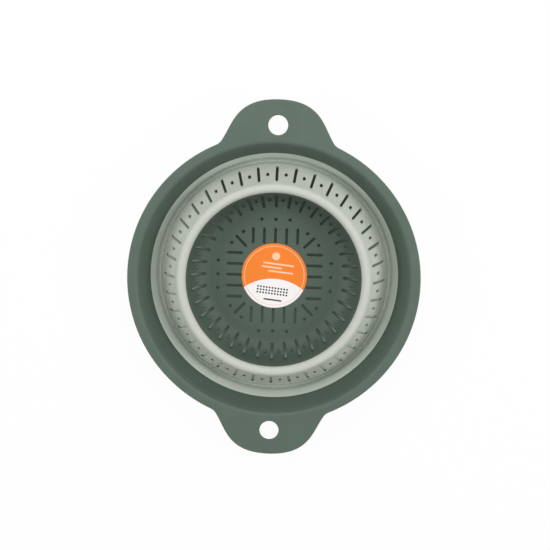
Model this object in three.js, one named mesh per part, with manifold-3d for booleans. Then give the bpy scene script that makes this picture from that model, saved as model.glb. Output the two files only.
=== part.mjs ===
// A collapsible colander, folded flat. Millimetres, +Z up, the origin on the ground under its centre.
//
// A stiff rim with two handles and a stiff bowl with a slotted floor are joined by a soft wall. The wall
// runs down from the rim to a trough, climbs inward as a slotted band and folds over the bowl's upper edge.
// Pulling the rim up turns the band inside out. The handles point along +Y and -Y.
// Outlines of turned pieces lie in the plane through the axis, as points of radius and height.

import * as THREE from 'three';
import { mergeVertices } from 'three/addons/utils/BufferGeometryUtils.js';
import Module from 'manifold-3d';

const wasm = await Module();
wasm.setup();

// Fits, and how finely curves are drawn
const FIT_GAP = 0.3;
const CUT_OVERRUN = 4;
const VERTEX_GRID = 0.0001;
const ARC_STEP_ANGLE = 2 * Math.PI / 9;
const DOT_SIDES = 6;
const HANGING_HOLE_SIDES = 20;
const HANDLE_CURVE_STEPS = 6;

// Rim: a flat flange round the mouth, and the skirt that leads down from it
const RIM_RADIUS = 97.4;
const RIM_TOP = 27;
const FLANGE_THICKNESS = 2.2;
const FLANGE_BEVEL = 0.5;
const MOUTH_RADIUS = 91;
const MOUTH_ROUNDING = 2.6;
const SKIRT_FOOT_RADIUS = 83.8;
const SKIRT_FOOT_HEIGHT = 10.3;
const RIM_TONGUE_WALL = 1;
const RIM_TONGUE_DEPTH = 3.6;

// Handles: flat ears with a hole to hang the colander by
const HANDLE_COUNT = 2;
const HANDLE_LENGTH = 21.8;
const HANDLE_TIP_REACH = 26.5;
const HANDLE_NECK_HALF_WIDTH = 35.3;
const HANDLE_NECK_INSET = 3.5;
const HANDLE_FLANK_REACH = 11.9;
const HANDLE_FLANK_ANGLE = THREE.MathUtils.degToRad(30.5);
const HANDLE_FILLET = 8;
const HANDLE_ROOT_OVERLAP = 3.4;
const HANGING_HOLE_RADIUS = 6.45;
const HANGING_HOLE_OFFSET = 5.2;

// Soft wall: its own thickness, the collar that grips the skirt, and its two bends
const SOFT_WALL = 1.8;
const SOFT_SKIN = 0.9;
const TROUGH_HEIGHT = 3;
const TROUGH_BEND = 2.6;
const BAND_FOOT_HEIGHT = 4.6;
const BAND_HEAD_DROP = 0.2;
const CROWN_RADIUS = 61.8;
const CROWN_RISE = 3;
const CROWN_BEND = 3.3;

// Bowl: a round floor on a foot ring, a fillet, and a steep wall with a collar under the soft lip
const BOWL_WALL = 2;
const BOWL_TOP_HEIGHT = 25;
const BOWL_CORNER_RADIUS = 52.3;
const BOWL_FILLET = 12;
const BOWL_COLLAR_WALL = 2;
const BOWL_COLLAR_HEIGHT = 5;
const FLOOR_HEIGHT = 4;
const FOOT_INNER_RADIUS = 41;
const FOOT_OUTER_RADIUS = 44.5;
const FOOT_COUNT = 4;
const FOOT_NOTCH_WIDTH = 18;

// Drain holes in the band and the bowl's wall: slots and round holes take turns round the axis
const WALL_HOLE_COUNT = 36;
const WALL_SLOT_WIDTH = 1.8;
const WALL_DOT_RADIUS = 1;
const BAND_SLOT_FOOT_MARGIN = 2.4;
const BAND_SLOT_HEAD_MARGIN = 0.8;
const BAND_DOT_HEIGHT = 15.8;
const BOWL_SLOT_LOW_RADIUS = 47.1;
const BOWL_SLOT_LOW_HEIGHT = 4.4;
const BOWL_SLOT_COLLAR_MARGIN = 1;
const BOWL_DOT_RADIUS = 52.4;
const BOWL_DOT_HEIGHT = 8.1;

// Drain holes in the floor: the same field on each of four sides, and a slot with two dots on each diagonal
const FLOOR_SIDES = 4;
const FLOOR_SLOT_WIDTH = 1.8;
const FLOOR_DOT_RADIUS = 1.1;
const SIDE_SLOT_COUNT = 5;
const SIDE_SLOT_PITCH = 7.56;
const SIDE_SLOT_START = 21.7;
const SIDE_SLOT_END = 32.8;
const SIDE_DOT_COUNT = 3;
const SIDE_DOT_PITCH = 9.6;
const SIDE_DOT_PLACE = 38.6;
const DIAGONAL_SLOT_START = 27.5;
const DIAGONAL_SLOT_END = 38.2;
const FLANK_DOT_PLACE = 36.8;
const FLANK_DOT_ANGLE = THREE.MathUtils.degToRad(8.6);

// Paper label on the floor
const LABEL_RADIUS = 22.3;
const LABEL_THICKNESS = 0.2;

// Derived sizes of the rim, of its handles and of the collar that grips it
const FACETS = 2 * WALL_HOLE_COUNT;
const HALF_FACET = Math.PI / FACETS;
const FLANGE_UNDERSIDE = RIM_TOP - FLANGE_THICKNESS;
const HANDLE_TIP = RIM_RADIUS + HANDLE_LENGTH;
const HANGING_HOLE_PLACE = RIM_RADIUS + HANGING_HOLE_OFFSET;
const SKIRT_ANGLE = Math.atan2(RIM_TOP - SKIRT_FOOT_HEIGHT, MOUTH_RADIUS - SKIRT_FOOT_RADIUS);
const TONGUE_INSET = SOFT_SKIN + FIT_GAP;
const SKIRT_WALL = TONGUE_INSET + RIM_TONGUE_WALL;
const RING_COLLAR_WALL = SKIRT_WALL + FIT_GAP + SOFT_SKIN;

// Derived places of the soft wall: the band is the straight line that touches both bends
const CROWN_HEIGHT = BOWL_TOP_HEIGHT + CROWN_RISE;
const BAND_HEAD_HEIGHT = BOWL_TOP_HEIGHT - BAND_HEAD_DROP;
const TROUGH_CENTRE_HEIGHT = TROUGH_HEIGHT + TROUGH_BEND;
const TROUGH_CENTRE = point(
  skirtRadius(TROUGH_CENTRE_HEIGHT) - TROUGH_BEND / Math.sin(SKIRT_ANGLE),
  TROUGH_CENTRE_HEIGHT,
);
const CROWN_CENTRE = point(CROWN_RADIUS, CROWN_HEIGHT - CROWN_BEND);
const BAND_ANGLE = bandAngle();
const BAND_LEVEL_WALL = SOFT_WALL / Math.sin(BAND_ANGLE);
const TROUGH_OUTER_ANGLE = SKIRT_ANGLE - Math.PI / 2;
const TROUGH_INNER_ANGLE = -BAND_ANGLE - Math.PI / 2;
const CROWN_OUTER_ANGLE = Math.PI / 2 - BAND_ANGLE;
const CROWN_INNER_ANGLE = Math.PI - Math.asin((BOWL_TOP_HEIGHT - CROWN_CENTRE.y) / CROWN_BEND);

// Derived places of the bowl
const FLOOR_UNDERSIDE = FLOOR_HEIGHT - BOWL_WALL;
const BOWL_TOP_RADIUS = CROWN_RADIUS + CROWN_BEND * Math.cos(CROWN_INNER_ANGLE);
const BOWL_WALL_ANGLE = Math.atan2(
  BOWL_TOP_HEIGHT - FLOOR_HEIGHT,
  BOWL_TOP_RADIUS - BOWL_CORNER_RADIUS,
);
const BOWL_LEVEL_WALL = BOWL_WALL / Math.sin(BOWL_WALL_ANGLE);
const BOWL_COLLAR_RADIUS = BOWL_TOP_RADIUS + BOWL_COLLAR_WALL;
const BOWL_COLLAR_FOOT = BOWL_TOP_HEIGHT - BOWL_COLLAR_HEIGHT;

function point(radius, height) {
  return new THREE.Vector2(radius, height);
}

// Radius of the skirt's inner face at a height, also below its foot, where the soft ring carries it on
function skirtRadius(height) {
  return SKIRT_FOOT_RADIUS + (height - SKIRT_FOOT_HEIGHT) / Math.tan(SKIRT_ANGLE);
}

// Slope of the line that touches the trough's bend from one side and the crown's bend from the other
function bandAngle() {
  const toCrown = CROWN_CENTRE.clone().sub(TROUGH_CENTRE);
  const crossing = Math.asin((TROUGH_BEND + CROWN_BEND) / toCrown.length());
  return Math.atan2(toCrown.y, -toCrown.x) + crossing;
}

// Radius of the band's upper face at a height
function bandRadius(height) {
  const touch = onArc(TROUGH_CENTRE, TROUGH_BEND, TROUGH_INNER_ANGLE);
  return touch.x - (height - touch.y) / Math.tan(BAND_ANGLE);
}

// Radius of the bowl wall's inner face at a height, as if it had no fillet
function bowlRadius(height) {
  return BOWL_CORNER_RADIUS + (height - FLOOR_HEIGHT) / Math.tan(BOWL_WALL_ANGLE);
}

function onArc(centre, radius, angle) {
  return point(centre.x + radius * Math.cos(angle), centre.y + radius * Math.sin(angle));
}

function arc(centre, radius, startAngle, endAngle) {
  const steps = Math.ceil(Math.abs(endAngle - startAngle) / ARC_STEP_ANGLE);
  return Array.from({ length: steps + 1 }, (_, step) => (
    onArc(centre, radius, THREE.MathUtils.lerp(startAngle, endAngle, step / steps))
  ));
}

// The arc that rounds a corner between two straight lines
function roundedCorner(before, corner, after, radius) {
  const back = before.clone().sub(corner).normalize();
  const ahead = after.clone().sub(corner).normalize();
  const halfAngle = Math.acos(back.dot(ahead)) / 2;
  const centre = back.clone().add(ahead).normalize();
  centre.multiplyScalar(radius / Math.sin(halfAngle)).add(corner);
  const start = back.multiplyScalar(radius / Math.tan(halfAngle)).add(corner).sub(centre);
  const turn = (Math.PI - 2 * halfAngle) * Math.sign(start.cross(corner.clone().sub(centre)));
  return arc(centre, radius, start.angle(), start.angle() + turn);
}

// A closed body for joining and cutting, from a closed geometry
function solid(geometry) {
  geometry.deleteAttribute('normal');
  geometry.deleteAttribute('uv');
  const merged = mergeVertices(geometry);
  const places = merged.getAttribute('position').array;
  const triangles = [];
  for (let first = 0; first < merged.index.count; first += 3) {
    const corners = Array.from(merged.index.array.slice(first, first + 3));
    if (new Set(corners).size === 3) triangles.push(...corners);
  }
  return new wasm.Manifold(new wasm.Mesh({
    numProp: 3,
    vertProperties: places.map((value) => Math.round(value / VERTEX_GRID) * VERTEX_GRID),
    triVerts: Uint32Array.from(triangles),
  }));
}

// A turned body. Its flats face the drain holes and lie on the true radius
function turned(outline) {
  const corners = outline.map(({ x, y }) => point(x / Math.cos(HALF_FACET), y));
  return solid(new THREE.LatheGeometry(corners, FACETS, HALF_FACET).rotateX(Math.PI / 2));
}

function closed(outline) {
  return [...outline, outline[0]];
}

// A cutter for a slot that lies along X from start to end and is cut along Z
function slotCutter(start, end, width) {
  const cutter = new THREE.BoxGeometry(end - start, width, 2 * CUT_OVERRUN);
  return cutter.translate((start + end) / 2, 0, 0);
}

function holeCutter(radius, sides) {
  return new THREE.CylinderGeometry(radius, radius, 2 * CUT_OVERRUN, sides).rotateX(Math.PI / 2);
}

// Lays a cutter on a wall in the plane of the axis, with its X along the wall and its Z across it
function laidOnWall(cutter, place, angle) {
  const along = new THREE.Vector3(Math.cos(angle), 0, Math.sin(angle));
  const level = new THREE.Vector3(0, 1, 0);
  const across = new THREE.Vector3().crossVectors(along, level);
  const lay = new THREE.Matrix4().makeBasis(along, level, across).setPosition(place.x, 0, place.y);
  return cutter.applyMatrix4(lay);
}

function copiesRoundAxis(cutter, count, firstAngle) {
  return Array.from({ length: count }, (_, copy) => (
    cutter.clone().rotateZ(firstAngle + copy * 2 * Math.PI / count)
  ));
}

function cut(body, cutters) {
  return cutters.reduce((rest, cutter) => rest.subtract(solid(cutter)), body);
}

// The slot between two points of a wall, repeated round the axis
function wallSlots(low, high) {
  const halfLength = low.distanceTo(high) / 2;
  const slot = slotCutter(-halfLength, halfLength, WALL_SLOT_WIDTH);
  const middle = low.clone().lerp(high, 1 / 2);
  const angle = high.clone().sub(low).angle();
  return copiesRoundAxis(laidOnWall(slot, middle, angle), WALL_HOLE_COUNT, 0);
}

// The round hole between each two slots
function wallDots(place, angle) {
  const dot = laidOnWall(holeCutter(WALL_DOT_RADIUS, DOT_SIDES), place, angle);
  return copiesRoundAxis(dot, WALL_HOLE_COUNT, Math.PI / WALL_HOLE_COUNT);
}

function rimOutline() {
  const tongueFoot = SKIRT_FOOT_HEIGHT - RIM_TONGUE_DEPTH;
  const tongueInner = skirtRadius(tongueFoot) + TONGUE_INSET;
  const mouth = point(MOUTH_RADIUS, RIM_TOP);
  const flangeTop = point(RIM_RADIUS - FLANGE_BEVEL, RIM_TOP);
  const skirtFoot = point(SKIRT_FOOT_RADIUS, SKIRT_FOOT_HEIGHT);
  return closed([
    point(tongueInner, tongueFoot),
    point(tongueInner + RIM_TONGUE_WALL, tongueFoot),
    point(skirtRadius(FLANGE_UNDERSIDE) + SKIRT_WALL, FLANGE_UNDERSIDE),
    point(RIM_RADIUS - FLANGE_BEVEL, FLANGE_UNDERSIDE),
    point(RIM_RADIUS, FLANGE_UNDERSIDE + FLANGE_BEVEL),
    point(RIM_RADIUS, RIM_TOP - FLANGE_BEVEL),
    flangeTop,
    ...roundedCorner(flangeTop, mouth, skirtFoot, MOUTH_ROUNDING),
    skirtFoot,
    point(SKIRT_FOOT_RADIUS + TONGUE_INSET, SKIRT_FOOT_HEIGHT),
  ]);
}

// The outline of one handle, which flows into the flange through a hollow fillet on each side
function handleShape() {
  const flank = point(Math.sin(HANDLE_FLANK_ANGLE), -Math.cos(HANDLE_FLANK_ANGLE));
  const outward = point(-flank.y, flank.x);
  const neck = point(HANDLE_NECK_HALF_WIDTH, RIM_RADIUS - HANDLE_NECK_INSET);
  const filletStart = neck.clone().addScaledVector(outward, HANDLE_FILLET);
  const centreDistance = RIM_RADIUS + HANDLE_FILLET;
  const halfTerm = filletStart.dot(flank);
  const rest = filletStart.lengthSq() - centreDistance ** 2;
  const slide = -halfTerm - Math.sqrt(halfTerm ** 2 - rest);
  const filletCentre = filletStart.addScaledVector(flank, slide);
  const rimAngle = filletCentre.angle();
  const rootRadius = RIM_RADIUS - HANDLE_ROOT_OVERLAP;
  const pull = neck.clone().addScaledVector(flank, -HANDLE_FLANK_REACH);
  const neckAngle = Math.PI + HANDLE_FLANK_ANGLE;
  const shape = new THREE.Shape();
  shape.absarc(filletCentre.x, filletCentre.y, HANDLE_FILLET, Math.PI + rimAngle, neckAngle, true);
  shape.lineTo(neck.x, neck.y);
  shape.bezierCurveTo(pull.x, pull.y, HANDLE_TIP_REACH, HANDLE_TIP, 0, HANDLE_TIP);
  shape.bezierCurveTo(-HANDLE_TIP_REACH, HANDLE_TIP, -pull.x, pull.y, -neck.x, neck.y);
  shape.absarc(-filletCentre.x, filletCentre.y, HANDLE_FILLET, Math.PI - neckAngle, -rimAngle, true);
  shape.absarc(0, 0, rootRadius, Math.PI - rimAngle, rimAngle, true);
  return shape;
}

function handle() {
  return new THREE.ExtrudeGeometry(handleShape(), {
    depth: FLANGE_THICKNESS - 2 * FLANGE_BEVEL,
    bevelThickness: FLANGE_BEVEL,
    bevelSize: FLANGE_BEVEL,
    bevelOffset: -FLANGE_BEVEL,
    bevelSegments: 1,
    curveSegments: HANDLE_CURVE_STEPS,
  }).translate(0, 0, FLANGE_UNDERSIDE + FLANGE_BEVEL);
}

function rimFrame() {
  const handles = copiesRoundAxis(handle(), HANDLE_COUNT, 0);
  const whole = handles.reduce((rest, ear) => rest.add(solid(ear)), turned(rimOutline()));
  const hole = holeCutter(HANGING_HOLE_RADIUS, HANGING_HOLE_SIDES);
  hole.translate(0, HANGING_HOLE_PLACE, RIM_TOP);
  return cut(whole, copiesRoundAxis(hole, HANDLE_COUNT, 0));
}

// The soft ring: a collar grooved for the skirt's tongue, and the trough down to the band's foot
function upperFoldRing() {
  const collarFoot = SKIRT_FOOT_HEIGHT - RIM_TONGUE_DEPTH - FIT_GAP - SOFT_SKIN;
  const grooveFoot = collarFoot + SOFT_SKIN;
  const backBend = TROUGH_BEND + SOFT_WALL;
  return turned(closed([
    point(bandRadius(BAND_FOOT_HEIGHT) - BAND_LEVEL_WALL, BAND_FOOT_HEIGHT),
    ...arc(TROUGH_CENTRE, backBend, TROUGH_INNER_ANGLE, TROUGH_OUTER_ANGLE),
    point(skirtRadius(collarFoot) + RING_COLLAR_WALL, collarFoot),
    point(SKIRT_FOOT_RADIUS + RING_COLLAR_WALL, SKIRT_FOOT_HEIGHT),
    point(SKIRT_FOOT_RADIUS + SKIRT_WALL + FIT_GAP, SKIRT_FOOT_HEIGHT),
    point(skirtRadius(grooveFoot) + SKIRT_WALL + FIT_GAP, grooveFoot),
    point(skirtRadius(grooveFoot) + SOFT_SKIN, grooveFoot),
    point(SKIRT_FOOT_RADIUS + SOFT_SKIN, SKIRT_FOOT_HEIGHT),
    point(SKIRT_FOOT_RADIUS, SKIRT_FOOT_HEIGHT),
    ...arc(TROUGH_CENTRE, TROUGH_BEND, TROUGH_OUTER_ANGLE, TROUGH_INNER_ANGLE),
    point(bandRadius(BAND_FOOT_HEIGHT), BAND_FOOT_HEIGHT),
  ]));
}

function foldingBand() {
  const foot = point(bandRadius(BAND_FOOT_HEIGHT), BAND_FOOT_HEIGHT);
  const head = point(bandRadius(BAND_HEAD_HEIGHT), BAND_HEAD_HEIGHT);
  const shell = turned(closed([
    point(foot.x - BAND_LEVEL_WALL, foot.y),
    foot,
    head,
    point(head.x - BAND_LEVEL_WALL, head.y),
  ]));
  const lowHeight = BAND_FOOT_HEIGHT + BAND_SLOT_FOOT_MARGIN;
  const highHeight = BAND_HEAD_HEIGHT - BAND_SLOT_HEAD_MARGIN;
  const slotLow = point(bandRadius(lowHeight), lowHeight);
  const slotHigh = point(bandRadius(highHeight), highHeight);
  const dot = point(bandRadius(BAND_DOT_HEIGHT), BAND_DOT_HEIGHT);
  return cut(shell, [...wallSlots(slotLow, slotHigh), ...wallDots(dot, Math.PI - BAND_ANGLE)]);
}

// The soft lip: the crown of the fold, seated on the bowl's top edge, with a leg down round its collar
function lipRing() {
  const legInner = BOWL_COLLAR_RADIUS + FIT_GAP;
  return turned(closed([
    point(legInner, BOWL_COLLAR_FOOT),
    point(CROWN_RADIUS, BOWL_COLLAR_FOOT),
    ...arc(CROWN_CENTRE, CROWN_BEND - SOFT_WALL, Math.PI / 2, CROWN_OUTER_ANGLE),
    point(bandRadius(BAND_HEAD_HEIGHT) - BAND_LEVEL_WALL, BAND_HEAD_HEIGHT),
    point(bandRadius(BAND_HEAD_HEIGHT), BAND_HEAD_HEIGHT),
    ...arc(CROWN_CENTRE, CROWN_BEND, CROWN_OUTER_ANGLE, CROWN_INNER_ANGLE),
    point(legInner, BOWL_TOP_HEIGHT),
  ]));
}

function bowlOutline() {
  const wallTop = point(BOWL_TOP_RADIUS, BOWL_TOP_HEIGHT);
  const floorCentre = point(0, FLOOR_HEIGHT);
  const undersideCentre = point(0, FLOOR_UNDERSIDE);
  const innerCorner = point(BOWL_CORNER_RADIUS, FLOOR_HEIGHT);
  const outerCorner = point(bowlRadius(FLOOR_UNDERSIDE) + BOWL_LEVEL_WALL, FLOOR_UNDERSIDE);
  const underCollar = point(bowlRadius(BOWL_COLLAR_FOOT) + BOWL_LEVEL_WALL, BOWL_COLLAR_FOOT);
  const outerBend = BOWL_FILLET + BOWL_WALL;
  const outerArc = roundedCorner(undersideCentre, outerCorner, underCollar, outerBend);
  const footTop = outerArc[0].y + outerBend
    - Math.sqrt(outerBend ** 2 - (FOOT_OUTER_RADIUS - outerArc[0].x) ** 2);
  return [
    undersideCentre,
    point(FOOT_INNER_RADIUS, FLOOR_UNDERSIDE),
    point(FOOT_INNER_RADIUS, 0),
    point(FOOT_OUTER_RADIUS, 0),
    point(FOOT_OUTER_RADIUS, footTop),
    ...outerArc.slice(1),
    underCollar,
    point(BOWL_COLLAR_RADIUS, BOWL_COLLAR_FOOT),
    point(BOWL_COLLAR_RADIUS, BOWL_TOP_HEIGHT),
    wallTop,
    ...roundedCorner(wallTop, innerCorner, floorCentre, BOWL_FILLET),
    floorCentre,
  ];
}

// Gaps in the foot ring, which let the water out from under the floor
function footNotches() {
  const length = FOOT_OUTER_RADIUS + CUT_OVERRUN;
  const notch = new THREE.BoxGeometry(length, FOOT_NOTCH_WIDTH, 2 * FLOOR_UNDERSIDE);
  notch.translate(length / 2, 0, 0);
  return copiesRoundAxis(notch, FOOT_COUNT, 0);
}

function onFloor(cutter, x, y) {
  return cutter.translate(x, y, FLOOR_HEIGHT);
}

// Places of a row of holes, evenly spaced about zero
function rowOffsets(count, pitch) {
  return Array.from({ length: count }, (_, index) => (index - (count - 1) / 2) * pitch);
}

function floorSlot(start, end, offset) {
  return onFloor(slotCutter(start, end, FLOOR_SLOT_WIDTH), 0, offset);
}

function floorDot(x, y) {
  return onFloor(holeCutter(FLOOR_DOT_RADIUS, DOT_SIDES), x, y);
}

function floorHoles() {
  const diagonal = Math.PI / FLOOR_SIDES;
  const flankDots = [-FLANK_DOT_ANGLE, FLANK_DOT_ANGLE].map((turn) => (
    floorDot(FLANK_DOT_PLACE, 0).rotateZ(diagonal + turn)
  ));
  const field = [
    ...rowOffsets(SIDE_SLOT_COUNT, SIDE_SLOT_PITCH)
      .map((offset) => floorSlot(SIDE_SLOT_START, SIDE_SLOT_END, offset)),
    ...rowOffsets(SIDE_DOT_COUNT, SIDE_DOT_PITCH).map((offset) => floorDot(SIDE_DOT_PLACE, offset)),
    floorSlot(DIAGONAL_SLOT_START, DIAGONAL_SLOT_END, 0).rotateZ(diagonal),
    ...flankDots,
  ];
  return field.flatMap((cutter) => copiesRoundAxis(cutter, FLOOR_SIDES, 0));
}

function baseBowl() {
  const slotLow = point(BOWL_SLOT_LOW_RADIUS, BOWL_SLOT_LOW_HEIGHT);
  const highHeight = BOWL_COLLAR_FOOT - BOWL_SLOT_COLLAR_MARGIN;
  const slotHigh = point(bowlRadius(highHeight), highHeight);
  const slotAngle = slotHigh.clone().sub(slotLow).angle();
  const dot = point(BOWL_DOT_RADIUS, BOWL_DOT_HEIGHT);
  return cut(turned(bowlOutline()), [
    ...footNotches(),
    ...wallSlots(slotLow, slotHigh),
    ...wallDots(dot, slotAngle),
    ...floorHoles(),
  ]);
}

function label() {
  const disc = new THREE.CylinderGeometry(LABEL_RADIUS, LABEL_RADIUS, LABEL_THICKNESS, WALL_HOLE_COUNT);
  return solid(disc.rotateX(Math.PI / 2).translate(0, 0, FLOOR_HEIGHT + LABEL_THICKNESS / 2));
}

function mesh(name, body, material) {
  const { vertProperties, triVerts } = body.getMesh();
  const geometry = new THREE.BufferGeometry();
  geometry.setAttribute('position', new THREE.BufferAttribute(vertProperties, 3));
  geometry.setIndex(new THREE.BufferAttribute(triVerts, 1));
  geometry.computeVertexNormals();
  const result = new THREE.Mesh(geometry, material);
  result.name = name;
  return result;
}

const greenPlastic = new THREE.MeshStandardMaterial({ color: 0x64746a, roughness: 0.55, metalness: 0 });
const paleRubber = new THREE.MeshStandardMaterial({ color: 0xc2c5bc, roughness: 0.6, metalness: 0 });
const labelPaper = new THREE.MeshStandardMaterial({ color: 0xfc852e, roughness: 0.4, metalness: 0 });

const colander = new THREE.Group();
colander.add(
  mesh('rim_frame', rimFrame(), greenPlastic),
  mesh('upper_fold_ring', upperFoldRing(), paleRubber),
  mesh('folding_band', foldingBand(), paleRubber),
  mesh('lip_ring', lipRing(), paleRubber),
  mesh('base_bowl', baseBowl(), greenPlastic),
  mesh('label', label(), labelPaper),
);

export default colander;
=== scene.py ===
"""Looks of a round collapsible colander, folded flat.

Metres, +Z up, with the origin on the ground under its centre. A stiff rim with two handles and a stiff bowl
with a slotted floor are joined by a soft wall: a ring that runs down from the rim to a trough, a slotted
band that climbs inward, and a lip over the bowl's upper edge. Sections of turned pieces lie in the plane
through the axis, as points of radius and height.
"""

import math
from itertools import pairwise

import bmesh
import bpy
from mathutils import Matrix, Vector, kdtree
from mathutils.geometry import delaunay_2d_cdt


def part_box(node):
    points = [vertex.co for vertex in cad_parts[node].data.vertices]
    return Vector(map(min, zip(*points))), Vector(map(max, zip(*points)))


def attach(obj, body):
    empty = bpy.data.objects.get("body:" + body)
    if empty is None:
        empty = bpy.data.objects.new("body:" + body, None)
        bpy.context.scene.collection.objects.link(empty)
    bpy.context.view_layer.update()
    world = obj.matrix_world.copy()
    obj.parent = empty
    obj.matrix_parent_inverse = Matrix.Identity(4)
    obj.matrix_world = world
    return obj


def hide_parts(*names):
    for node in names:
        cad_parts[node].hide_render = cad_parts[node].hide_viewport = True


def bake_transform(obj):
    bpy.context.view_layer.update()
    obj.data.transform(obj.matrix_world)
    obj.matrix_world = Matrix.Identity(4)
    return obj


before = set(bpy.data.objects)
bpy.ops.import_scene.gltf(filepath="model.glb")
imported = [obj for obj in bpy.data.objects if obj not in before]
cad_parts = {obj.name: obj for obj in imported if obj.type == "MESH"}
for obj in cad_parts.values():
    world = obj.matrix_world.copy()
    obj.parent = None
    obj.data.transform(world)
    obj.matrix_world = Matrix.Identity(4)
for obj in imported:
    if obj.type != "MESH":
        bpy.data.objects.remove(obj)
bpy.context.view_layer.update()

# The origin, directions in the frame, pure white, and the sizes of turning matrices
ORIGIN = (0, 0, 0)
UP = (0, 0, 1)
BACK = (0, 1, 0)
RIGHT = (1, 0, 0)
LEFT = (-1, 0, 0)
WHITE = (1, 1, 1)
PLAN_MATRIX = 2
SPACE_MATRIX = 4

# How finely curves and fields of holes are drawn
SEGMENTS = 180
ARC_STEP_ANGLE = math.radians(7.5)
EDGE_STEPS = 3
CURVE_STEPS = 24
HANGING_HOLE_SIDES = 64
SLOT_STEP = 0.00045
SLOT_END_STEPS = 8
WALL_GRID = 0.0013
FLOOR_GRID = 0.004
FLOOR_GRID_START = 0.006
FLOOR_GRID_SIDES = 60
HOLE_CLEARANCE = 0.0016
SUPPORT_WIDTH = 0.0002
WELD_DISTANCE = 0.000001
FILL_TOLERANCE = 0.000000005
FILL_ALL = 0
MITRE_LIMIT = 2
SHARP_ANGLE = math.radians(38)

# Rim: a flat flange round the mouth, and the skirt that leads down from it
RIM_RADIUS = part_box("rim_frame")[1].x
RIM_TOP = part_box("rim_frame")[1].z
FLANGE_THICKNESS = 0.0022
FLANGE_EDGE = 0.0007
MOUTH_RADIUS = 0.091
MOUTH_ROUNDING = 0.0026
SKIRT_FOOT_RADIUS = 0.0838
SKIRT_FOOT_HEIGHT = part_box("upper_fold_ring")[1].z
SKIRT_ROOT_ROUNDING = 0.0012
RIM_TONGUE_WALL = 0.001
RIM_TONGUE_DEPTH = 0.0036
FIT_GAP = 0.0003

# Handles: flat ears with a hole to hang the colander by, one at the back and one at the front
HANDLE_SIDES = (1, -1)
HANDLE_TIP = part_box("rim_frame")[1].y
HANDLE_TIP_REACH = 0.0265
HANDLE_NECK_HALF_WIDTH = 0.0353
HANDLE_NECK_INSET = 0.0035
HANDLE_FLANK_REACH = 0.0119
HANDLE_FLANK_ANGLE = math.radians(30.5)
HANDLE_FILLET = 0.008
HANGING_HOLE_RADIUS = 0.00645
HANGING_HOLE_OFFSET = 0.0052

# Soft wall: its thickness, the collar that grips the skirt, the trough and the crown. The knee, the creases
# and the ridge of the ring are rounded corners, given as radius and height
SOFT_WALL = 0.0018
SOFT_SKIN = 0.0009
TROUGH_HEIGHT = 0.003
TROUGH_BEND = 0.0026
BAND_FOOT_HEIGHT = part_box("folding_band")[0].z
BAND_HEAD_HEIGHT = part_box("folding_band")[1].z
CROWN_RADIUS = 0.0618
CROWN_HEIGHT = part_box("lip_ring")[1].z
CROWN_BEND = 0.0033
RING_KNEE = (0.08075, 0.0047)
RING_KNEE_BEND = 0.008
OUTER_CREASE = (0.0799, 0.002)
OUTER_CREASE_BEND = 0.0003
CREASE_RIDGE = (0.0783, 0.0032)
CREASE_RIDGE_BEND = 0.0004
INNER_CREASE = (0.07745, 0.00265)
INNER_CREASE_BEND = 0.0002

# Bowl: a round floor on a foot ring, a fillet, and a steep wall with a collar under the soft lip
BOWL_WALL = 0.002
BOWL_TOP_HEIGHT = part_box("base_bowl")[1].z
BOWL_CORNER_RADIUS = 0.0523
BOWL_FILLET = 0.012
BOWL_COLLAR_WALL = 0.002
BOWL_COLLAR_HEIGHT = 0.005
FLOOR_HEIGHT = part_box("label")[0].z
FOOT_INNER_RADIUS = 0.041
FOOT_OUTER_RADIUS = 0.0445
FOOT_COUNT = 4
FOOT_NOTCH_HALF_WIDTH = 0.009
FOOT_EDGE = 0.0004

# Drain holes in the band and the bowl's wall: slots and round holes take turns round the axis. All run
# straight down, so radii and widths are those of the plan, but the foot end of a band's slot leans inward
WALL_HOLE_COUNT = 36
WALL_SLOT_HALF_WIDTH = 0.00096
WALL_DOT_RADIUS = 0.0011
HOLE_EDGE = 0.00015
BAND_SLOT_START = 0.06592
BAND_SLOT_END = 0.0752
BAND_SLOT_LEAN_SHARE = 0.72
BAND_DOT_PLACE = 0.07
BOWL_SLOT_START = 0.0468
BOWL_SLOT_END = 0.0565
BOWL_DOT_PLACE = 0.0524

# Drain holes in the floor: the same field on each of four sides, and a slot with two dots on each diagonal
FLOOR_SIDES = 4
FLOOR_SLOT_HALF_WIDTH = 0.0009
FLOOR_DOT_RADIUS = 0.0011
SIDE_SLOT_COUNT = 5
SIDE_SLOT_PITCH = 0.00756
SIDE_SLOT_START = 0.0217
SIDE_SLOT_END = 0.0328
SIDE_DOT_COUNT = 3
SIDE_DOT_PITCH = 0.0096
SIDE_DOT_PLACE = 0.0386
DIAGONAL_SLOT_START = 0.0275
DIAGONAL_SLOT_END = 0.0382
FLANK_DOT_PLACE = 0.0368
FLANK_DOT_ANGLE = math.radians(8.6)

# Paper label on the floor
LABEL_RADIUS = 0.0223
LABEL_THICKNESS = 0.0002
LABEL_EDGE = 0.00006

# Noises: how far their values reach, and how many finer copies are laid over them
NOISE_LOW = 0.3
NOISE_HIGH = 0.7
CLOUD_DETAIL = 4
GRAIN_DETAIL = 2

# Stiff plastic: dark green, with the fine grain of a spark-eroded mould, and painted light that makes it
# paler in patches toward the rim's top, where the flange faces the lamps and the skirt below stays in shade
PLASTIC_DARK = (0.069, 0.101, 0.076)
PLASTIC_LIGHT = (0.077, 0.113, 0.086)
PLASTIC_PAINTED_LIGHT = (0.102, 0.144, 0.114)
PLASTIC_PAINTED_LIGHT_HEIGHTS = (0.021, 0.0264)
PLASTIC_PAINTED_LIGHT_SHARES = (0.45, 0.85)
PLASTIC_GLOSS = 0.35
PLASTIC_ROUGHNESS_RANGE = (0.5, 0.64)
PLASTIC_CLOUD_SIZE = 0.03
PLASTIC_GRAIN_SIZE = 0.0004
PLASTIC_GRAIN_HEIGHT = 0.00002
PLASTIC_WAVE_SIZE = 0.014
PLASTIC_WAVE_HEIGHT = 0.00003
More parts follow.
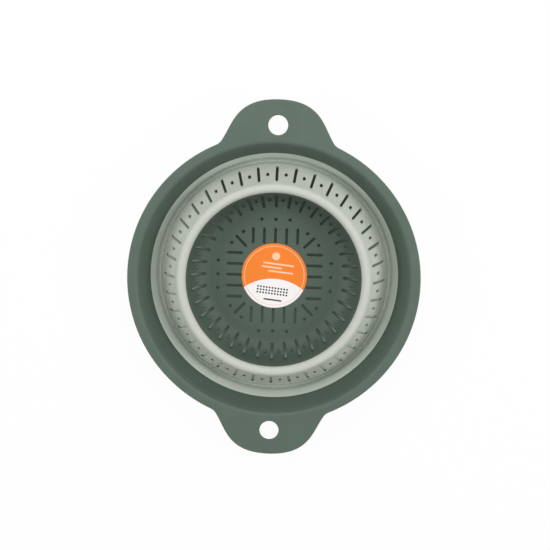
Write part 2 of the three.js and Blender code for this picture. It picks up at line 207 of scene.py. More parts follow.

# Soft wall: pale sage rubber that light gets into, with painted shade that makes it darker low down, at the
# bottom of the fold, and warmer on the crown
RUBBER_DARK = (0.555, 0.6, 0.537)
RUBBER_LIGHT = (0.605, 0.65, 0.587)
RUBBER_PAINTED_SHADE = (0.385, 0.43, 0.38)
RUBBER_PAINTED_SHADE_HEIGHTS = (0.0021, 0.005)
RUBBER_CROWN = (0.588, 0.61, 0.551)
RUBBER_CROWN_RADII = (0.0635, 0.0655)
RUBBER_GLOSS = 0.15
RUBBER_ROUGHNESS_RANGE = (0.5, 0.62)
RUBBER_CLOUD_SIZE = 0.02
RUBBER_GRAIN_SIZE = 0.00025
RUBBER_GRAIN_HEIGHT = 0.00001
RUBBER_WAVE_SIZE = 0.007
RUBBER_WAVE_HEIGHT = 0.00003
RUBBER_GLOW_THROUGH = 0.3
RUBBER_LIGHT_REACH = 0.002
RUBBER_LIGHT_SHARES = (1, 1, 1)

# Label print: places and sizes on the paper, with x to the right and y up. A bar is given by its centre
# and half its length
PRINT_WHITE = (0.95, 0.92, 0.92)
PRINT_ORANGE = (0.96, 0.235, 0.027)
PRINT_PALE = (0.97, 0.62, 0.42)
PRINT_GREY = (0.07, 0.065, 0.065)
PRINT_TURN = math.radians(6)
PRINT_SOFTNESS = 0.00008
HILL_CENTRE = (0.003, -0.0355)
HILL_RADIUS = 0.0335
PRINT_RING_RADIUS = 0.0204
PRINT_RING_HALF_WIDTH = 0.0002
SUN_CENTRE = (-0.0005, 0.0135)
SUN_RADIUS = 0.0027
PALE_BARS = (((0.002, 0.0082), 0.0105), ((-0.0025, 0.0056), 0.0068), ((0.004, 0.003), 0.0085))
BAR_HALF_HEIGHT = 0.00055
GREY_BAR = ((0.001, -0.0168), 0.0062)
DOT_FIELD_CENTRE = (0, -0.0105)
DOT_FIELD_HALF_LENGTH = 0.011
DOT_FIELD_HALF_HEIGHT = 0.003
DOT_FIELD_PITCH = 0.002
DOT_FIELD_DOT_RADIUS = 0.00068
PAPER_GLOSS = 0.3
PAPER_ROUGHNESS_RANGE = (0.36, 0.46)
PAPER_CLOUD_SIZE = 0.006
PAPER_FIBRE_SIZE = 0.0003
PAPER_FIBRE_HEIGHT = 0.000003

# Camera and light
CAMERA_PLACE = Vector((0.0133, 0.1215, 0.7437))
CAMERA_AIM = Vector((0.00089, 0.00426, 0.027))
CAMERA_ROLL = math.radians(1.75)
CAMERA_LENS = 71.8
CAMERA_SENSOR = 36
SKY_STRENGTH = 0.37
SOFTBOX_SIZE = 0.5
LOW_LIGHT_ANGLE = math.radians(35)
KEY_LIGHT_ANGLE = math.radians(52)
LIGHT_DISTANCE = 1.2
KEY_LIGHT_DISTANCE = 0.8
KEY_LIGHT_POWER = 2.6
RIGHT_LIGHT_POWER = 5.4
LEFT_LIGHT_POWER = 4.2

# Floor: white round the colander and darker under it. What the camera sees of it through the drain holes
# changes over a range, between two reaches toward a side or between two radii
FLOOR_SIZE = 6
FLOOR_DROP = 0.0001
FLOOR_COLOUR = (0.9, 0.9, 0.9)
FLOOR_ROUGHNESS = 0.9
FLOOR_GLOW_SHARE = 0.96
FLOOR_GLOW_RADII = (0.078, 0.0975)
SHADE_COLOUR = (0.048, 0.066, 0.047)
SHADE_RADII = (0.074, 0.092)
UNDER_BOWL_GLOW_RANGE = (0.022, 0.06)
UNDER_BOWL_GLOW_REACH = (0.03, -0.03)
UNDER_WALL_GLOW_RANGE = (0.01, 0.33)
UNDER_WALL_GLOW_REACH = (0.056, -0.02)
UNDER_WALL_GLOW_RADII = (0.045, 0.064)
UNDER_WALL_GLOW_CENTRE = (0, -0.004, 0)
UNDER_BOWL_GLOW_COLOUR = (0.76, 1, 0.8)
UNDER_WALL_GLOW_COLOUR = (0.91, 1, 0.9)
UNDER_WALL_SHADE_SIDE = (0.174, 0.985, 0)
FRONT_SHADE_RANGE = (1, 0.4)
FRONT_SHADE_REACH = (-0.055, -0.075)


def point(radius, height):
    return Vector((radius, height))


def polar(radius, angle):
    return Vector((radius * math.cos(angle), radius * math.sin(angle)))


def skirt_radius(height):
    """Radius of the skirt's inner face, also below its foot, where the soft ring carries it on."""
    return SKIRT_FOOT_RADIUS + (height - SKIRT_FOOT_HEIGHT) / math.tan(SKIRT_ANGLE)


def band_angle():
    """Slope of the line that touches the trough's bend from one side and the crown's from the other."""
    to_crown = CROWN_CENTRE - TROUGH_CENTRE
    crossing = math.asin((TROUGH_BEND + CROWN_BEND) / to_crown.length)
    return math.atan2(to_crown.y, -to_crown.x) + crossing


def band_radius(height):
    """Radius of the band's upper face."""
    touch = TROUGH_CENTRE + polar(TROUGH_BEND, TROUGH_INNER_ANGLE)
    return touch.x - (height - touch.y) / math.tan(BAND_ANGLE)


# Derived places of the rim and of the soft wall
FLANGE_UNDERSIDE = RIM_TOP - FLANGE_THICKNESS
SKIRT_ANGLE = math.atan2(RIM_TOP - SKIRT_FOOT_HEIGHT, MOUTH_RADIUS - SKIRT_FOOT_RADIUS)
TONGUE_INSET = SOFT_SKIN + FIT_GAP
SKIRT_WALL = TONGUE_INSET + RIM_TONGUE_WALL
RING_COLLAR_WALL = SKIRT_WALL + FIT_GAP + SOFT_SKIN
TROUGH_CENTRE = point(
    skirt_radius(TROUGH_HEIGHT + TROUGH_BEND) - TROUGH_BEND / math.sin(SKIRT_ANGLE),
    TROUGH_HEIGHT + TROUGH_BEND,
)
CROWN_CENTRE = point(CROWN_RADIUS, CROWN_HEIGHT - CROWN_BEND)
BAND_ANGLE = band_angle()
BAND_LEVEL_WALL = SOFT_WALL / math.sin(BAND_ANGLE)
TROUGH_OUTER_ANGLE = SKIRT_ANGLE - math.pi / 2
TROUGH_INNER_ANGLE = -BAND_ANGLE - math.pi / 2
CROWN_OUTER_ANGLE = math.pi / 2 - BAND_ANGLE
CROWN_INNER_ANGLE = math.pi - math.asin((BOWL_TOP_HEIGHT - CROWN_CENTRE.y) / CROWN_BEND)
BAND_HEAD = point(band_radius(BAND_HEAD_HEIGHT), BAND_HEAD_HEIGHT)
BAND_FOOT = point(band_radius(BAND_FOOT_HEIGHT), BAND_FOOT_HEIGHT)
BAND_DOWNWARD = (BAND_FOOT - BAND_HEAD).normalized()
BAND_OUTWARD = point(-BAND_DOWNWARD.y, BAND_DOWNWARD.x)

# Derived places of the bowl. Its section is unrolled: flat floor, fillet, wall
BOWL_TOP_RADIUS = CROWN_RADIUS + CROWN_BEND * math.cos(CROWN_INNER_ANGLE)
BOWL_WALL_ANGLE = math.atan2(BOWL_TOP_HEIGHT - FLOOR_HEIGHT, BOWL_TOP_RADIUS - BOWL_CORNER_RADIUS)
BOWL_COLLAR_RADIUS = BOWL_TOP_RADIUS + BOWL_COLLAR_WALL
BOWL_COLLAR_FOOT = BOWL_TOP_HEIGHT - BOWL_COLLAR_HEIGHT
FLAT_END = BOWL_CORNER_RADIUS - BOWL_FILLET * math.tan(BOWL_WALL_ANGLE / 2)
FILLET_END = FLAT_END + BOWL_FILLET * BOWL_WALL_ANGLE
FILLET_CENTRE = point(FLAT_END, FLOOR_HEIGHT + BOWL_FILLET)
FILLET_TOP = FILLET_CENTRE + polar(BOWL_FILLET, BOWL_WALL_ANGLE - math.pi / 2)


def arc(centre, radius, start_angle, end_angle):
    steps = math.ceil(abs(end_angle - start_angle) / ARC_STEP_ANGLE)
    turn = (end_angle - start_angle) / steps
    return [centre + polar(radius, start_angle + step * turn) for step in range(steps + 1)]


def rounded_corner(before, corner, after, radius):
    """The arc that rounds a corner between two straight lines."""
    back = (before - corner).normalized()
    ahead = (after - corner).normalized()
    half_angle = back.angle(ahead) / 2
    centre = corner + (back + ahead).normalized() * (radius / math.sin(half_angle))
    start = corner + back * (radius / math.tan(half_angle)) - centre
    to_corner = corner - centre
    side = math.copysign(1, start.x * to_corner.y - start.y * to_corner.x)
    first = math.atan2(start.y, start.x)
    return arc(centre, radius, first, first + side * (math.pi - 2 * half_angle))


def edge_rounding(radius):
    """Steps over a rounded edge, from the face to the side: how far each lies out and down."""
    turns = [step / EDGE_STEPS * math.pi / 2 for step in range(EDGE_STEPS + 1)]
    return [(radius * (1 - math.sin(turn)), radius * (1 - math.cos(turn))) for turn in turns]


def edge_margin(radius):
    """How far a rounded edge and the level margin beside it reach. A sharp edge needs neither."""
    return radius + SUPPORT_WIDTH if radius else 0


def edge_through(near_radius, far_radius, thickness):
    """Steps over both edges of a plate and the side between them, with a level margin at each end."""
    near, far = [
        [(edge_margin(radius), 0), *edge_rounding(radius)] if radius else [(0, 0)]
        for radius in (near_radius, far_radius)
    ]
    return [*near, *[(out, thickness - down) for out, down in reversed(far)]]


def loop_inset(loop, distance):
    """A counter-clockwise loop moved inward by a distance."""
    moved = []
    for index, corner in enumerate(loop):
        back = (corner - loop[index - 1]).normalized()
        ahead = (loop[(index + 1) % len(loop)] - corner).normalized()
        along = (back + ahead).normalized()
        stretch = 1 / max(along.dot(ahead), 1 / MITRE_LIMIT)
        moved.append(corner + Vector((-along.y, along.x)) * distance * stretch)
    return moved


def flat_circle(radius, sides=SEGMENTS, centre=Vector((0, 0))):
    return [centre + polar(radius, step * math.tau / sides) for step in range(sides)]


def raised(loop, height):
    return [Vector((corner.x, corner.y, height)) for corner in loop]


def fill(outer, holes, inner):
    """Triangles between a counter-clockwise loop and the holes in it, with inner points as corners."""
    loops = [outer, *holes]
    given = [corner for loop in loops for corner in loop]
    plates = []
    for loop in loops:
        first = plates[-1][-1] + 1 if plates else 0
        plates.append(list(range(first, first + len(loop))))
    made = delaunay_2d_cdt([*given, *inner], [], plates, FILL_ALL, FILL_TOLERANCE)
    corners, _, triangles, _, _, owners = made
    outer_only = [0]
    return corners, [triangle for triangle, owner in zip(triangles, owners) if owner == outer_only]


class Skin:
    """Faces gathered patch by patch, which weld into one closed mesh where their corners meet."""

    def __init__(self):
        self.corners = []
        self.faces = []

    def add(self, corners, faces):
        first = len(self.corners)
        self.corners.extend(corners)
        self.faces.extend([first + corner for corner in face] for face in faces)

    def join(self, *loops):
        """Bands of quads from each loop to the next, all of as many corners."""
        for near, far in pairwise(loops):
            count = len(near)
            nexts = [*range(1, count), 0]
            quads = [(i, nexts[i], count + nexts[i], count + i) for i in range(count)]
            self.add([*near, *far], quads)

    def turn(self, section):
        """The surface that a section makes when it turns round the axis."""
        self.join(*[raised(flat_circle(corner.x), corner.y) for corner in section])

    def plate(self, outer, holes, height):
        corners, faces = fill(outer, holes, [])
        self.add(raised(corners, height), faces)

    def make(self, name, material):
        mesh = bpy.data.meshes.new(name)
        shape = bmesh.new()
        corners = [shape.verts.new(corner) for corner in self.corners]
        for face in self.faces:
            shape.faces.new([corners[index] for index in face])
        bmesh.ops.remove_doubles(shape, verts=shape.verts, dist=WELD_DISTANCE)
        bmesh.ops.dissolve_degenerate(shape, edges=shape.edges, dist=WELD_DISTANCE)
        bmesh.ops.recalc_face_normals(shape, faces=shape.faces)
        shape.to_mesh(mesh)
        shape.free()
        mesh.shade_smooth()
        mesh.set_sharp_from_angle(angle=SHARP_ANGLE)
        mesh.materials.append(material)
        piece = bpy.data.objects.new(name, mesh)
        bpy.context.scene.collection.objects.link(piece)
        return piece


def lay(section, spot, depth):
    """The place in space of a spot of an unrolled wall, at a depth under its upper face."""
    on_face, outward = section(spot.length)
    place = on_face - outward * depth
    return Vector((*(spot.normalized() * place.x), place.y))


def lay_all(section, spots, depth):
    return [lay(section, spot, depth) for spot in spots]


def round_ended(start, end, half_width, sides):
    """Outline of a slot with round ends, as distances along and across it. With no sides it is a dot."""
    quarter = math.pi / 2
    first, last = start + half_width, end - half_width
    shares = [step / sides for step in range(1, sides)]
    far_side = [Vector((last + (first - last) * share, half_width)) for share in shares]
    near_side = [Vector((first + (last - first) * share, -half_width)) for share in shares]
    far_end = half_round(last, half_width, -quarter)
    near_end = half_round(first, half_width, quarter)
    if sides == 0:
        return [*far_end, *near_end[1:-1]]
    return [*far_end, *far_side, *near_end, *near_side]


def half_round(place, half_width, start_angle):
    turns = [start_angle + step / SLOT_END_STEPS * math.pi for step in range(SLOT_END_STEPS + 1)]
    return [Vector((place, 0)) + polar(half_width, turn) for turn in turns]


def unrolled(places, unroll, depth):
    """Where places of the plan lie in an unrolled wall, at a depth under its upper face."""
    return [place.normalized() * unroll(place.length, depth) for place in places]


def drain_hole(unroll, turn, start, end, half_width, offset=0.0, lean_share=0.0):
    """A slot or dot: a function that gives its unrolled outline, grown by a width, at a depth."""
    turned = Matrix.Rotation(turn, PLAN_MATRIX)
    sides = round((end - start - 2 * half_width) / SLOT_STEP)

    def outline(grow, depth):
        far = end + grow - lean_share * depth
        spots = round_ended(start - grow, far, half_width + grow, sides)
        return unrolled([turned @ Vector((spot.x, spot.y + offset)) for spot in spots], unroll, depth)
    return outline


def drain_dot(unroll, turn, place, radius, offset=0.0):
    return drain_hole(unroll, turn, place - radius, place + radius, radius, offset)


def wall_holes(unroll, slot_start, slot_end, lean_share, dot_place):
    pitch = math.tau / WALL_HOLE_COUNT
    holes = []
    for index in range(WALL_HOLE_COUNT):
        turn = index * pitch
        slot = drain_hole(unroll, turn, slot_start, slot_end, WALL_SLOT_HALF_WIDTH, lean_share=lean_share)
        holes.append(slot)
        holes.append(drain_dot(unroll, turn + pitch / 2, dot_place, WALL_DOT_RADIUS))
    return holes


def perforate(skin, section, holes, far_edge, thickness):
    """The walls of holes through a wall, with their edges rounded on its upper and lower face."""
    steps = edge_through(HOLE_EDGE, far_edge, thickness)
    for hole in holes:
        skin.join(*[lay_all(section, hole(out, down), down) for out, down in steps])


def grid(rings, outlines):
    """Spots on rings of a wall, given as radius and count, that keep clear of the outlines."""
    corners = [corner for outline in outlines for corner in outline]
    tree = kdtree.KDTree(len(corners))
    for index, corner in enumerate(corners):
        tree.insert(corner.to_3d(), index)
    tree.balance()

    def is_clear(spot):
        _, _, distance = tree.find(spot.to_3d())
        return distance > HOLE_CLEARANCE
    return [spot for radius, sides in rings for spot in flat_circle(radius, sides) if is_clear(spot)]


def even_rings(start, end, spacing, sides):
    count = max(1, round((end - start) / spacing))
    return [(start + (end - start) * step / count, sides) for step in range(1, count)]


def sheet(skin, section, depth, outer, outlines, rings):
    """One face of a perforated wall, out to a border circle."""
    border = flat_circle(outer)
    corners, faces = fill(border, outlines, grid(rings, [border, *outlines]))
    skin.add(lay_all(section, corners, depth), faces)


def flange_outline():
    """Plan of the flange with its two handles, which flow into it through hollow fillets."""
    flank = Vector((math.sin(HANDLE_FLANK_ANGLE), -math.cos(HANDLE_FLANK_ANGLE)))
    outward = Vector((-flank.y, flank.x))
    neck = Vector((HANDLE_NECK_HALF_WIDTH, RIM_RADIUS - HANDLE_NECK_INSET))
    fillet_start = neck + outward * HANDLE_FILLET
    half_term = fillet_start.dot(flank)
    rest = fillet_start.length_squared - (RIM_RADIUS + HANDLE_FILLET) ** 2
    fillet_centre = fillet_start + flank * (-half_term - math.sqrt(half_term ** 2 - rest))
    rim_angle = math.atan2(fillet_centre.y, fillet_centre.x)
    neck_angle = math.pi + HANDLE_FLANK_ANGLE
    rim_steps = round(SEGMENTS * rim_angle / math.tau)
    rim_arc = [polar(RIM_RADIUS, rim_angle * step / rim_steps) for step in range(rim_steps)]
    fillet = arc(fillet_centre, HANDLE_FILLET, math.pi + rim_angle, neck_angle)
    pull = neck - flank * HANDLE_FLANK_REACH
    tip_pull = Vector((HANDLE_TIP_REACH, HANDLE_TIP))
    tip = Vector((0, HANDLE_TIP))
    ear = [bezier((neck, pull, tip_pull, tip), step / CURVE_STEPS) for step in range(CURVE_STEPS + 1)]
    quarter = [*rim_arc, *fillet, *ear]
    half = [*quarter, *[Vector((-corner.x, corner.y)) for corner in reversed(quarter[:-1])]]
    loop = [*half[:-1], *[-corner for corner in half[:-1]]]
    lengths = [(corner - loop[index - 1]).length for index, corner in enumerate(loop)]
    return [corner for corner, length in zip(loop, lengths) if length > SUPPORT_WIDTH]


def bezier(points, share):
    """The place on a smooth curve at a share of its way. It starts and ends at the outer points."""
    while len(points) > 1:
        points = [near.lerp(far, share) for near, far in pairwise(points)]
    return points[0]


def hanging_hole(side, grow):
    centre = Vector((0, side * (RIM_RADIUS + HANGING_HOLE_OFFSET)))
    return flat_circle(HANGING_HOLE_RADIUS + grow, HANGING_HOLE_SIDES, centre)


def rim_frame(material):
    skin = Skin()
    outline = flange_outline()
    mouth = rounded_corner(
        point(RIM_RADIUS, RIM_TOP), point(MOUTH_RADIUS, RIM_TOP),
        point(SKIRT_FOOT_RADIUS, SKIRT_FOOT_HEIGHT), MOUTH_ROUNDING,
    )
    tongue_foot = SKIRT_FOOT_HEIGHT - RIM_TONGUE_DEPTH
    tongue_inner = skirt_radius(tongue_foot) + TONGUE_INSET
    tongue_outer = point(tongue_inner + RIM_TONGUE_WALL, tongue_foot)
    root = rounded_corner(
        tongue_outer, point(skirt_radius(FLANGE_UNDERSIDE) + SKIRT_WALL, FLANGE_UNDERSIDE),
        point(RIM_RADIUS, FLANGE_UNDERSIDE), SKIRT_ROOT_ROUNDING,
    )
    section = [
        point(mouth[0].x + SUPPORT_WIDTH, RIM_TOP),
        *mouth,
        point(SKIRT_FOOT_RADIUS, SKIRT_FOOT_HEIGHT),
        point(SKIRT_FOOT_RADIUS + TONGUE_INSET, SKIRT_FOOT_HEIGHT),
        point(tongue_inner, tongue_foot),
        tongue_outer,
        *root,
        point(root[-1].x + SUPPORT_WIDTH, FLANGE_UNDERSIDE),
    ]
    skin.turn(section)
    steps = edge_through(FLANGE_EDGE, FLANGE_EDGE, FLANGE_THICKNESS)
    skin.join(*[raised(loop_inset(outline, out), RIM_TOP - down) for out, down in steps])
    for side in HANDLE_SIDES:
        skin.join(*[raised(hanging_hole(side, out), RIM_TOP - down) for out, down in steps])
    margin = edge_margin(FLANGE_EDGE)
    edge = loop_inset(outline, margin)
    holes = [hanging_hole(side, margin) for side in HANDLE_SIDES]
    for corner in (section[0], section[-1]):
        skin.plate(edge, [flat_circle(corner.x), *holes], corner.y)
    return skin.make("rim_and_handles", material)


def creased_trough():
    """The ring's upper face down to the band: a bulging wall, a deep crease, a low ridge, a crease."""
    bends = (
        (RING_KNEE, RING_KNEE_BEND),
        (OUTER_CREASE, OUTER_CREASE_BEND),
        (CREASE_RIDGE, CREASE_RIDGE_BEND),
        (INNER_CREASE, INNER_CREASE_BEND),
    )
    start = point(SKIRT_FOOT_RADIUS, SKIRT_FOOT_HEIGHT)
    end = TROUGH_CENTRE + polar(TROUGH_BEND, TROUGH_INNER_ANGLE)
    places = [start, *[point(*place) for place, bend in bends], end]
    corners = []
    for index, (place, bend) in enumerate(bends):
        corners.extend(rounded_corner(places[index], places[index + 1], places[index + 2], bend))
    return [*corners, end]


def fold_ring(material):
    """The soft ring: a collar grooved for the skirt's tongue, and the trough down to the band's foot."""
    skin = Skin()
    collar_foot = SKIRT_FOOT_HEIGHT - RIM_TONGUE_DEPTH - FIT_GAP - SOFT_SKIN
    groove_foot = collar_foot + SOFT_SKIN
    back_bend = TROUGH_BEND + SOFT_WALL
    section = [
        point(band_radius(BAND_FOOT_HEIGHT) - BAND_LEVEL_WALL, BAND_FOOT_HEIGHT),
        *arc(TROUGH_CENTRE, back_bend, TROUGH_INNER_ANGLE, TROUGH_OUTER_ANGLE),
        point(skirt_radius(collar_foot) + RING_COLLAR_WALL, collar_foot),
        point(SKIRT_FOOT_RADIUS + RING_COLLAR_WALL, SKIRT_FOOT_HEIGHT),
        point(SKIRT_FOOT_RADIUS + SKIRT_WALL + FIT_GAP, SKIRT_FOOT_HEIGHT),
        point(skirt_radius(groove_foot) + SKIRT_WALL + FIT_GAP, groove_foot),
        point(skirt_radius(groove_foot) + SOFT_SKIN, groove_foot),
        point(SKIRT_FOOT_RADIUS + SOFT_SKIN, SKIRT_FOOT_HEIGHT),
        point(SKIRT_FOOT_RADIUS, SKIRT_FOOT_HEIGHT),
        *creased_trough(),
        BAND_FOOT,
    ]
    skin.turn([*section, section[0]])
    return skin.make("soft_fold_ring", material)


def band_section(along):
    """The band's upper face, unrolled from its head outward and down, and the way out of it."""
    return BAND_HEAD + BAND_DOWNWARD * (along - BAND_HEAD.x), BAND_OUTWARD


def band_unroll(radius, depth):
    """Distance along the unrolled band of a radius, at a depth under its upper face."""
    return BAND_HEAD.x + (radius + BAND_OUTWARD.x * depth - BAND_HEAD.x) / BAND_DOWNWARD.x


def soft_band(material):
    skin = Skin()
    lean_share = BAND_SLOT_LEAN_SHARE
    holes = wall_holes(band_unroll, BAND_SLOT_START, BAND_SLOT_END, lean_share, BAND_DOT_PLACE)
    perforate(skin, band_section, holes, HOLE_EDGE, SOFT_WALL)
    start, end = BAND_HEAD.x, band_unroll(BAND_FOOT.x, 0)
    level_shift = SOFT_WALL / math.tan(BAND_ANGLE)
    for depth, shift in ((0, 0), (SOFT_WALL, level_shift)):
        outlines = [hole(edge_margin(HOLE_EDGE), depth) for hole in holes]
        rings = even_rings(start - shift, end - shift, WALL_GRID, SEGMENTS)
        inner = flat_circle(start - shift)
        sheet(skin, band_section, depth, end - shift, [inner, *outlines], rings)
    for border in (start, end):
        upper, lower = flat_circle(border), flat_circle(border - level_shift)
        skin.join(lay_all(band_section, upper, 0), lay_all(band_section, lower, SOFT_WALL))
    return skin.make("soft_band", material)


def soft_lip(material):
    """The crown of the fold, seated on the bowl's top edge, with a leg down round its collar."""
    skin = Skin()
    leg_inner = BOWL_COLLAR_RADIUS + FIT_GAP
    section = [
        point(leg_inner, BOWL_COLLAR_FOOT),
        point(CROWN_RADIUS, BOWL_COLLAR_FOOT),
        *arc(CROWN_CENTRE, CROWN_BEND - SOFT_WALL, math.pi / 2, CROWN_OUTER_ANGLE),
        point(BAND_HEAD.x - BAND_LEVEL_WALL, BAND_HEAD_HEIGHT),
        BAND_HEAD,
        *arc(CROWN_CENTRE, CROWN_BEND, CROWN_OUTER_ANGLE, CROWN_INNER_ANGLE),
        point(leg_inner, BOWL_TOP_HEIGHT),
    ]
    skin.turn([*section, section[0]])
    return skin.make("soft_lip", material)


def bowl_section(along):
    """The bowl's inner face, unrolled from the axis outward, and the way out of it."""
    if along <= FLAT_END:
        return point(along, FLOOR_HEIGHT), point(0, 1)
    if along <= FILLET_END:
        outward = polar(1, math.pi / 2 + (along - FLAT_END) / BOWL_FILLET)
        return FILLET_CENTRE - outward * BOWL_FILLET, outward
    up = polar(1, BOWL_WALL_ANGLE)
    return FILLET_TOP + up * (along - FILLET_END), point(-up.y, up.x)


def bowl_unroll(radius, depth):
    """Distance along the unrolled bowl of a radius, at a depth under its inner face."""
    if radius <= FLAT_END:
        return radius
    reach = BOWL_FILLET + depth
    rise = (radius - FLAT_END) / reach
    if rise <= math.sin(BOWL_WALL_ANGLE):
        return FLAT_END + BOWL_FILLET * math.asin(rise)
    wall_start = FLAT_END + reach * math.sin(BOWL_WALL_ANGLE)
    return FILLET_END + (radius - wall_start) / math.cos(BOWL_WALL_ANGLE)


def bowl_wall_along(height, depth):
    """Distance along the unrolled bowl of a height on its wall, at a depth under its inner face."""
    lowered = height + depth * math.cos(BOWL_WALL_ANGLE)
    return FILLET_END + (lowered - FILLET_TOP.y) / math.sin(BOWL_WALL_ANGLE)


def floor_holes():
    holes = []
    for side in range(FLOOR_SIDES):
        turn = side * math.tau / FLOOR_SIDES
        diagonal = turn + math.pi / FLOOR_SIDES
        for offset in row_offsets(SIDE_SLOT_COUNT, SIDE_SLOT_PITCH):
            holes.append(floor_slot(turn, SIDE_SLOT_START, SIDE_SLOT_END, offset))
        for offset in row_offsets(SIDE_DOT_COUNT, SIDE_DOT_PITCH):
            holes.append(drain_dot(bowl_unroll, turn, SIDE_DOT_PLACE, FLOOR_DOT_RADIUS, offset))
        holes.append(floor_slot(diagonal, DIAGONAL_SLOT_START, DIAGONAL_SLOT_END))
        for lean in (-FLANK_DOT_ANGLE, FLANK_DOT_ANGLE):
            holes.append(drain_dot(bowl_unroll, diagonal + lean, FLANK_DOT_PLACE, FLOOR_DOT_RADIUS))
    return holes


def floor_slot(turn, start, end, offset=0.0):
    return drain_hole(bowl_unroll, turn, start, end, FLOOR_SLOT_HALF_WIDTH, offset)


def row_offsets(count, pitch):
    return [(index - (count - 1) / 2) * pitch for index in range(count)]


def foot_outlines():
    """Plans of the foot arcs on the bowl's underside."""
    inner_lean = math.asin(FOOT_NOTCH_HALF_WIDTH / FOOT_INNER_RADIUS)
    outer_lean = math.asin(FOOT_NOTCH_HALF_WIDTH / FOOT_OUTER_RADIUS)
    span = math.tau / FOOT_COUNT
    feet = []
    for foot in range(FOOT_COUNT):
        start, end = foot * span, (foot + 1) * span
        outer = turns_between(start + outer_lean, end - outer_lean)
        inner = turns_between(end - inner_lean, start + inner_lean)
        feet.append([
            *[polar(FOOT_OUTER_RADIUS, turn) for turn in outer],
            *[polar(FOOT_INNER_RADIUS, turn) for turn in inner],
        ])
    return feet


def turns_between(start, end):
    steps = math.ceil(abs(end - start) / math.tau * SEGMENTS)
    return [start + (end - start) * step / steps for step in range(steps + 1)]


def base_bowl(material):
    skin = Skin()
    wall = wall_holes(bowl_unroll, BOWL_SLOT_START, BOWL_SLOT_END, 0.0, BOWL_DOT_PLACE)
    holes = [*wall, *floor_holes()]
    perforate(skin, bowl_section, holes, 0, BOWL_WALL)
    feet = foot_outlines()
    foot_roots = [unrolled(plan, bowl_unroll, BOWL_WALL) for plan in feet]
    upper_outlines = [hole(edge_margin(HOLE_EDGE), 0) for hole in holes]
    lower_outlines = [*[hole(0, BOWL_WALL) for hole in holes], *foot_roots]
    top = bowl_wall_along(BOWL_TOP_HEIGHT, 0)
    collar = bowl_wall_along(BOWL_COLLAR_FOOT, BOWL_WALL)
    flat_rings = even_rings(FLOOR_GRID_START, FLAT_END, FLOOR_GRID, FLOOR_GRID_SIDES)
    for depth, end, outlines in ((0, top, upper_outlines), (BOWL_WALL, collar, lower_outlines)):
        rings = [*flat_rings, (FLAT_END, SEGMENTS), *even_rings(FLAT_END, end, WALL_GRID, SEGMENTS)]
        sheet(skin, bowl_section, depth, end, outlines, rings)
    under_collar = lay(bowl_section, Vector((collar, 0)), BOWL_WALL)
    skin.turn([
        point(under_collar.x, under_collar.z),
        point(BOWL_COLLAR_RADIUS, BOWL_COLLAR_FOOT),
        point(BOWL_COLLAR_RADIUS, BOWL_TOP_HEIGHT),
        point(BOWL_TOP_RADIUS, BOWL_TOP_HEIGHT),
    ])
    for plan, root in zip(feet, foot_roots):
        lower = [raised(loop_inset(plan, out), down) for out, down in edge_rounding(FOOT_EDGE)]
        skin.join(lay_all(bowl_section, root, BOWL_WALL), *reversed(lower))
        skin.add(lower[0], [range(len(lower[0]))])
    return skin.make("bowl", material)


def paper_label(material):
    skin = Skin()
    top = FLOOR_HEIGHT + LABEL_THICKNESS
    section = [
        point(0, FLOOR_HEIGHT),
        point(LABEL_RADIUS, FLOOR_HEIGHT),
        *[point(LABEL_RADIUS - out, top - down) for out, down in reversed(edge_rounding(LABEL_EDGE))],
        point(LABEL_RADIUS - LABEL_EDGE - SUPPORT_WIDTH, top),
        point(0, top),
    ]
    skin.turn(section)
    return skin.make("round_label", material)


